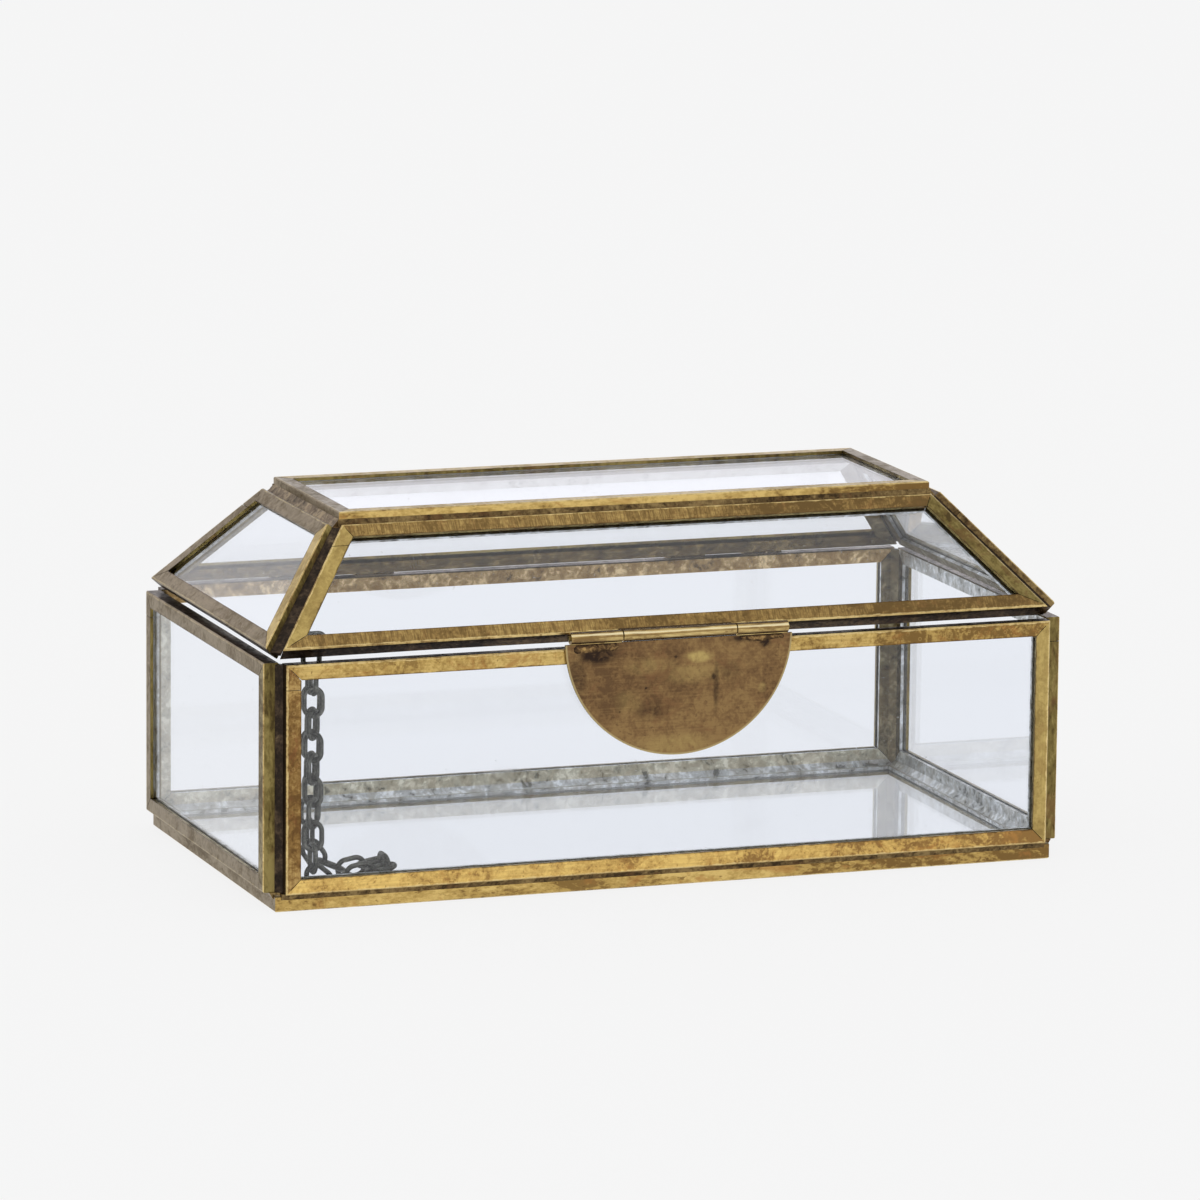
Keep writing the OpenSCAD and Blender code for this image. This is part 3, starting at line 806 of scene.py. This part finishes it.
smearSetup = {
    "lumps": (700, 5, 0.72, 0.8),
    "lumpTone": 0.9,  # how much the lumps count in the tone
    "raisedTone": 0.42,  # added where the smear stands highest
    "stops": [
        (0.38, (0.022, 0.014, 0.01)),
        (0.55, (0.10, 0.058, 0.026)),
        (0.7, (0.34, 0.21, 0.08)),
        (0.85, (0.68, 0.48, 0.16)),
    ],
    "roughness": (0.3, 0.7, 0.55, 0.32),
    "bump": (0.8, 0.0003),
    # the shape
    "sink": 0.0002,
    "sinkSize": 900,
    "lumpSize": 620,
    "depth": (0.25, 0.4),  # share of the depth kept: least, added at a lump
    "edgeSize": 420,
    "edgeSwing": 0.9,
    "edgePlace": (0.3, 0.7),
    "height": 0.3,  # share of the height kept where the edge is highest
    "sharp": 60,
}


def smearBrass(setup):
    # solder smears on the plate: gold where rubbed, dark where they sink to the plate
    low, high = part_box("flap_solder")
    material, tree, shader, where = newMaterial("smearBrass")
    _, depth, _ = splitVector(tree, where["Object"])
    lumps = clouds(tree, where["Object"], *setup["lumps"])
    raised = spread(tree, depth, high.y, low.y, 0, setup["raisedTone"], "LINEAR")
    tone = sums(tree, "ADD", times(tree, lumps, setup["lumpTone"]), raised)
    tree.links.new(ramp(tree, tone, setup["stops"]), shader.inputs["Base Color"])
    tree.links.new(spread(tree, lumps, *setup["roughness"]), shader.inputs["Roughness"])
    shader.inputs["Metallic"].default_value = 0.95
    addBump(tree, shader, lumps, *setup["bump"])
    return material


finishes["tubeBrass"] = tubeBrass(tubeSetup)
finishes["clearGlass"] = paneGlass(glassSetup)
finishes["flapBrass"] = flapBrass(flapSetup)
finishes["smearBrass"] = smearBrass(smearSetup)
print("materials ready:", len(finishes))

# pieces taken over from the CAD nodes
weldDistance = 2e-6
sliverLength = 1e-6


def mergedCopy(node):
    bm = bmesh.new()
    bm.from_mesh(nodes[node].data)
    bmesh.ops.remove_doubles(bm, verts=bm.verts, dist=weldDistance)
    bmesh.ops.dissolve_degenerate(bm, edges=bm.edges, dist=sliverLength)
    return bm


def finishPiece(bm, node, materials, sharp=35):
    # smooth faces with hard edges past the sharp angle, in degrees
    for face in bm.faces:
        face.smooth = True
    for edge in bm.edges:
        edge.smooth = not (edge.is_manifold and edge.calc_face_angle(0) > math.radians(sharp))
    mesh = bpy.data.meshes.new(node + "_dressed")
    bm.to_mesh(mesh)
    bm.free()
    for material in materials:
        mesh.materials.append(finishes[material])
    piece = bpy.data.objects.new(node + "_dressed", mesh)
    bpy.context.scene.collection.objects.link(piece)
    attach(piece, bodyOf[node])
    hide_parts(node)


lidSag = {
    # the bent lower edge of the lid: how far it hangs, where, over what height
    "frontLeft": 0.00005,
    "frontRight": 0.0005,
    "frontReach": 0.085,  # x up to which the front's values count: only its seam has points there
    "sideEnds": 0.0004,
    "backShare": 0.3,  # of the sides' hang in their rear half
    "height": 0.005,
    "clear": 0.030,  # y from which the hinge side stays straight
}


def clamped(value):
    return max(0.0, min(1.0, value))


def sagLid(bm, setup):
    low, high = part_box("lid_front_frame")
    for vert in bm.verts:
        x, y, z = vert.co
        share = max(0.0, 1 - (z - low.z) / setup["height"])
        if share <= 0 or y > setup["clear"]:
            continue
        if abs(x) < setup["frontReach"] and y < 0:
            along = clamped((x - low.x) / (high.x - low.x))
            drop = setup["frontLeft"] + (setup["frontRight"] - setup["frontLeft"]) * along
        else:
            toFront = clamped((setup["clear"] - y) / (setup["clear"] - low.y))
            drop = setup["sideEnds"] * (2 * toFront - 1) ** 2 * (1 if toFront > 0.5 else setup["backShare"])
        vert.co.z -= drop * share * share


frameFinish = {
    # the frame's outward direction, then the finishes of its face, its web (the outer edge) and
    # its inside, each by the rail's side, where "" stands for the rails that aren't named
    "front_frame": {
        "outward": (0, -1, 0),
        "face": {"left": "warmStile", "right": "goldStile", "bottom": "footBrass", "": "boxBrass"},
        "web": {"": "seamDirtAndShade"},
        "inside": {"": "tinSilver"},
    },
    "back_frame": {
        "outward": (0, 1, 0),
        "face": {"left": "warmStile", "": "boxBrass"},
        "web": {"": "seamDirtAndShade"},
        "inside": {"top": "tinWarm", "right": "tinDark", "": "tinSilver"},
    },
    "left_frame": {
        "outward": (-1, 0, 0),
        # painted shade: the left wall's rails take the darker taupe copy of the brass
        "face": {"front": "oliveStile", "": "shadedTaupeRail"},
        "web": {"front": "oliveWeb", "back": "oliveWeb", "": "seamDirtAndShade"},
        "inside": {"": "tinGrey"},
    },
    "right_frame": {
        "outward": (1, 0, 0),
        "face": {"front": "oliveStile", "": "boxBrass"},
        "web": {"front": "oliveWeb", "back": "oliveWeb", "": "seamDirtAndShade"},
        "inside": {"back": "tinDark", "": "tinGrey"},
    },
    "base_frame": {
        "outward": (0, 0, -1),
        "face": {"": "boxBrass"},
        "web": {"left": "shadedTaupeWeb", "": "boxWeb"},
        "inside": {"": "tinBright"},
    },
    "lid_front_frame": {
        "outward": (0, -0.739, 0.674),
        # painted shade: the sloped lid rails take the darker slope copy of the brass
        "face": {"left": "smoothGold", "right": "oliveStile", "": "shadedLidRail"},
        "web": {"left": "oliveWeb", "top": "lineBrown", "": "seamDirtAndShade"},
        "inside": {"": "tinDark"},
    },
    "lid_back_frame": {
        "outward": (0, 0.739, 0.674),
        "face": {"": "shadedLidRail"},
        "web": {"": "seamDirtAndShade"},
        "inside": {"top": "tinBright", "bottom": "tinBrown", "": "tinDark"},
        "lip": "tinBrown",
    },
    "lid_left_frame": {
        "outward": (-0.749, 0, 0.663),
        "face": {"front": "goldStile", "": "shadedTaupeRail"},
        "web": {"front": "oliveWeb", "": "seamDirtAndShade"},
        "inside": {"": "tinDark"},
    },
    "lid_right_frame": {
        "outward": (0.749, 0, 0.663),
        "face": {"": "shadedLidRail"},
        "web": {"front": "lineBrown", "": "seamDirtAndShade"},
        "inside": {"": "tinDark"},
    },
    "lid_top_frame": {
        "outward": (0, 0, 1),
        "face": {"left": "shadedTaupeRail", "right": "shadedTaupeRail", "": "filedGold"},
        "web": {"left": "shadedTaupeWeb", "": "boxWeb"},
        "inside": {"": "tinBright"},
    },
}


def sideOf(direction):
    sizes = [abs(v) for v in direction]
    axis = sizes.index(max(sizes))
    names = (("left", "right"), ("front", "back"), ("bottom", "top"))[axis]
    return names[1] if direction[axis] > 0 else names[0]


frameSetup = {
    "railWidth": 0.0036,  # across the face, from the outer fold to the pane
    "cornerGap": 5e-4,  # hull points closer than this are one corner
    "straight": 0.98,  # cosine past which a corner is only a point on an edge
    "railShift": 0.7,  # start of each next rail on the map
    "cutDistance": 1e-7,
    "level": 0.97,  # cosine past which a face lies in the frame's plane
    "fold": 0.1,  # cosine past which it is a chamfer
    "square": 0.9,  # cosine past which it faces out of or into the frame
}


def flatPlace(point, across, other):
    return Vector((point.dot(across), point.dot(other)))


def liftedPlace(flat, across, other):
    return across * flat.x + other * flat.y


def frameRails(bm, across, other, setup):
    # the four rails of a frame: a corner, the direction along and the direction inwards
    flat = [flatPlace(v.co, across, other) for v in bm.verts]
    corners = []
    for i in geometry.convex_hull_2d(flat):
        if all((flat[i] - corner).length > setup["cornerGap"] for corner in corners):
            corners.append(flat[i])
    straight = True
    while straight:
        straight = False
        for i, corner in enumerate(corners):
            before = (corner - corners[i - 1]).normalized()
            after = (corners[(i + 1) % len(corners)] - corner).normalized()
            if before.dot(after) > setup["straight"]:
                del corners[i]
                straight = True
                break
    middle = sum(corners, Vector((0, 0))) / len(corners)
    rails = []
    for i, corner in enumerate(corners):
        along = (corners[(i + 1) % len(corners)] - corner).normalized()
        inwards = Vector((-along.y, along.x))
        if inwards.dot(middle - corner) < 0:
            inwards.negate()
        rails.append((corner, along, inwards))
    return rails


def mapRails(bm, out, setup):
    # cuts the frame at its mitres, then maps each face along and across its rail
    across = out.orthogonal().normalized()
    other = out.cross(across)
    rails = frameRails(bm, across, other, setup)
    height = sum((v.co.dot(out) for v in bm.verts)) / len(bm.verts)
    for i, (corner, _, inwards) in enumerate(rails):
        bisector = (inwards + rails[i - 1][2]).normalized()
        bmesh.ops.bisect_plane(
            bm,
            geom=bm.verts[:] + bm.edges[:] + bm.faces[:],
            dist=setup["cutDistance"],
            plane_co=liftedPlace(corner, across, other) + out * height,
            plane_no=liftedPlace(Vector((-bisector.y, bisector.x)), across, other),
        )
    uvs = bm.loops.layers.uv.new("rail")
    awayOf = {}
    for face in bm.faces:
        spot = flatPlace(face.calc_center_median(), across, other)
        distances = [abs((spot - corner).dot(inwards)) for corner, _, inwards in rails]
        nearest = distances.index(min(distances))
        corner, along, inwards = rails[nearest]
        for loop in face.loops:
            point = flatPlace(loop.vert.co, across, other) - corner
            u = point.dot(along) + nearest * setup["railShift"]
            loop[uvs].uv = (u, point.dot(inwards) / setup["railWidth"])
        awayOf[face] = liftedPlace(inwards, across, other) * -1
    return awayOf


def byRail(finishOf, side):
    return finishOf.get(side, finishOf[""])


def faceFinish(plan, side, facing, aside, outer, setup):
    # facing: how squarely the face looks out of the frame's plane, aside: away from its pane
    if facing > setup["level"] and outer:
        return byRail(plan["face"], side)
    if abs(facing) > setup["level"]:
        return byRail(plan["inside"], side)
    # chamfers on the outer folds: painted highlight on worn brass, or the shaded taupe copy on the taupe
    # rails
    if facing > setup["fold"]:
        return "shadedTaupeFold" if byRail(plan["face"], side) == "shadedTaupeRail" else "rubbedHighlightFold"
    if facing < -setup["fold"]:
        return "tinDark"
    if aside > setup["square"]:
        return byRail(plan["web"], side)
    if aside < -setup["square"]:
        return "oliveWeb" if outer else plan.get("lip", "tinGrey")
    # other side faces lie in the gaps between parts: dirt and painted shade
    return "seamDirtAndShade"


def dressFrames(plans, setup):
    for node, plan in plans.items():
        bm = mergedCopy(node)
        out = Vector(plan["outward"]).normalized()
        awayOf = mapRails(bm, out, setup)
        level = [v.co.dot(out) for v in bm.verts]
        middle = (min(level) + max(level)) / 2
        used = []
        for face, away in awayOf.items():
            outer = face.calc_center_median().dot(out) > middle
            facing, aside = face.normal.dot(out), face.normal.dot(away)
            finish = faceFinish(plan, sideOf(away), facing, aside, outer, setup)
            if finish not in used:
                used.append(finish)
            face.material_index = used.index(finish)
        if node in ("lid_front_frame", "lid_left_frame", "lid_right_frame"):
            sagLid(bm, lidSag)
        finishPiece(bm, node, used)


dressFrames(frameFinish, frameSetup)
print("frames dressed")

plateSetup = {
    "edgeBand": 2e-5,  # how near the top a point counts as the upper edge
    "lift": 0.0001,  # closes the line of light below the knuckles
    "up": 0.9,
}


def flapPlate(setup):
    # the plate's upper face is painted dark as shade in the gap below the knuckles
    bm = mergedCopy("flap_plate")
    _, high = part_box("flap_plate")
    for vert in bm.verts:
        if vert.co.z > high.z - setup["edgeBand"]:
            vert.co.z += setup["lift"]
    bm.normal_update()
    for face in bm.faces:
        # painted shade: faces looking up take the dark seam finish
        face.material_index = 1 if face.normal.z > setup["up"] else 0
    finishPiece(bm, "flap_plate", ["flapBrass", "seamDirtAndShade"])


def lump(point, size):
    return 0.5 + 0.5 * noise.noise(point * size)


def roughen(bm, amount, size):
    # uneven hand-laid solder: points sink by a noise, against their normals
    bmesh.ops.subdivide_edges(bm, edges=bm.edges[:], cuts=1, use_grid_fill=True)
    bmesh.ops.triangulate(bm, faces=bm.faces[:])
    bm.normal_update()
    moves = [(v, v.normal * -amount * lump(v.co, size)) for v in bm.verts]
    for vert, move in moves:
        vert.co += move


def flapSmears(setup):
    # the solder under the outer knuckles: ragged smears, thinned toward the plate
    _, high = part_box("flap_solder")
    bm = mergedCopy("flap_solder")
    roughen(bm, setup["sink"], setup["sinkSize"])
    least, added = setup["depth"]
    for vert in bm.verts:
        keep = min(1.0, least + added * lump(vert.co, setup["lumpSize"]))
        vert.co.y = high.y + (vert.co.y - high.y) * keep
        wave = noise.noise(Vector((vert.co.x * setup["edgeSize"], *setup["edgePlace"])))
        reach = clamped(0.5 + setup["edgeSwing"] * wave)
        share = setup["height"] + (1 - setup["height"]) * reach
        vert.co.z = high.z + (vert.co.z - high.z) * share
    bm.normal_update()
    finishPiece(bm, "flap_solder", ["smearBrass"], setup["sharp"])


flapPlate(plateSetup)
flapSmears(smearSetup)
print("flap dressed")

solderSeams = {
    # heights between which the level seam lies, then the materials: outside, outside on the
    # level seam, inside, inside on faces that look up
    "box_solder": {"level": (0, 0.005), "materials": ("oldSolder", "lineBrown", "tinDark", "tinGrey")},
    "lid_solder": {"level": (0.082, 1), "materials": ("oldSolder", "lineBrown", "tinBrown", "tinBrown")},
}
looksUp = 0.3


def dressSolder(setup):
    for node, plan in setup.items():
        low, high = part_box(node)
        bottom, top = plan["level"]
        heart = Vector(((low.x + high.x) / 2, (low.y + high.y) / 2, low.z))
        bm = mergedCopy(node)
        bm.normal_update()
        for face in bm.faces:
            centre = face.calc_center_median()
            if face.normal.dot(heart - centre) > 0:
                face.material_index = 3 if face.normal.z > looksUp else 2
            else:
                face.material_index = 1 if bottom < centre.z < top else 0
        finishPiece(bm, node, plan["materials"])


dressSolder(solderSeams)

plainPieces = {
    "hinge_knuckles_box": ("tubeBrass", "brass_tube"),
    "hinge_knuckles_lid": ("tubeBrass", "brass_tube"),
    "clasp_knuckle_lid": ("tubeBrass", "brass_tube"),
    "flap_knuckles": ("tubeBrass", "brass_tube"),
    "hinge_pins": ("pinBrass", "brass_pin"),
    "flap_pin": ("pinBrass", "brass_pin"),
    "chain_eye_box": ("chainWire", "chain"),
    "chain_eye_lid": ("chainWire", "chain"),
}

for node, (finish, slotName) in plainPieces.items():
    finishPiece(mergedCopy(node), node, [finish])

for node in nodes:
    if node.startswith("link_"):
        finishPiece(mergedCopy(node), node, ["chainWire"])
    elif node.endswith("_glass"):
        nodes[node].data.materials.clear()
        nodes[node].data.materials.append(finishes["clearGlass"])
print("pieces dressed")
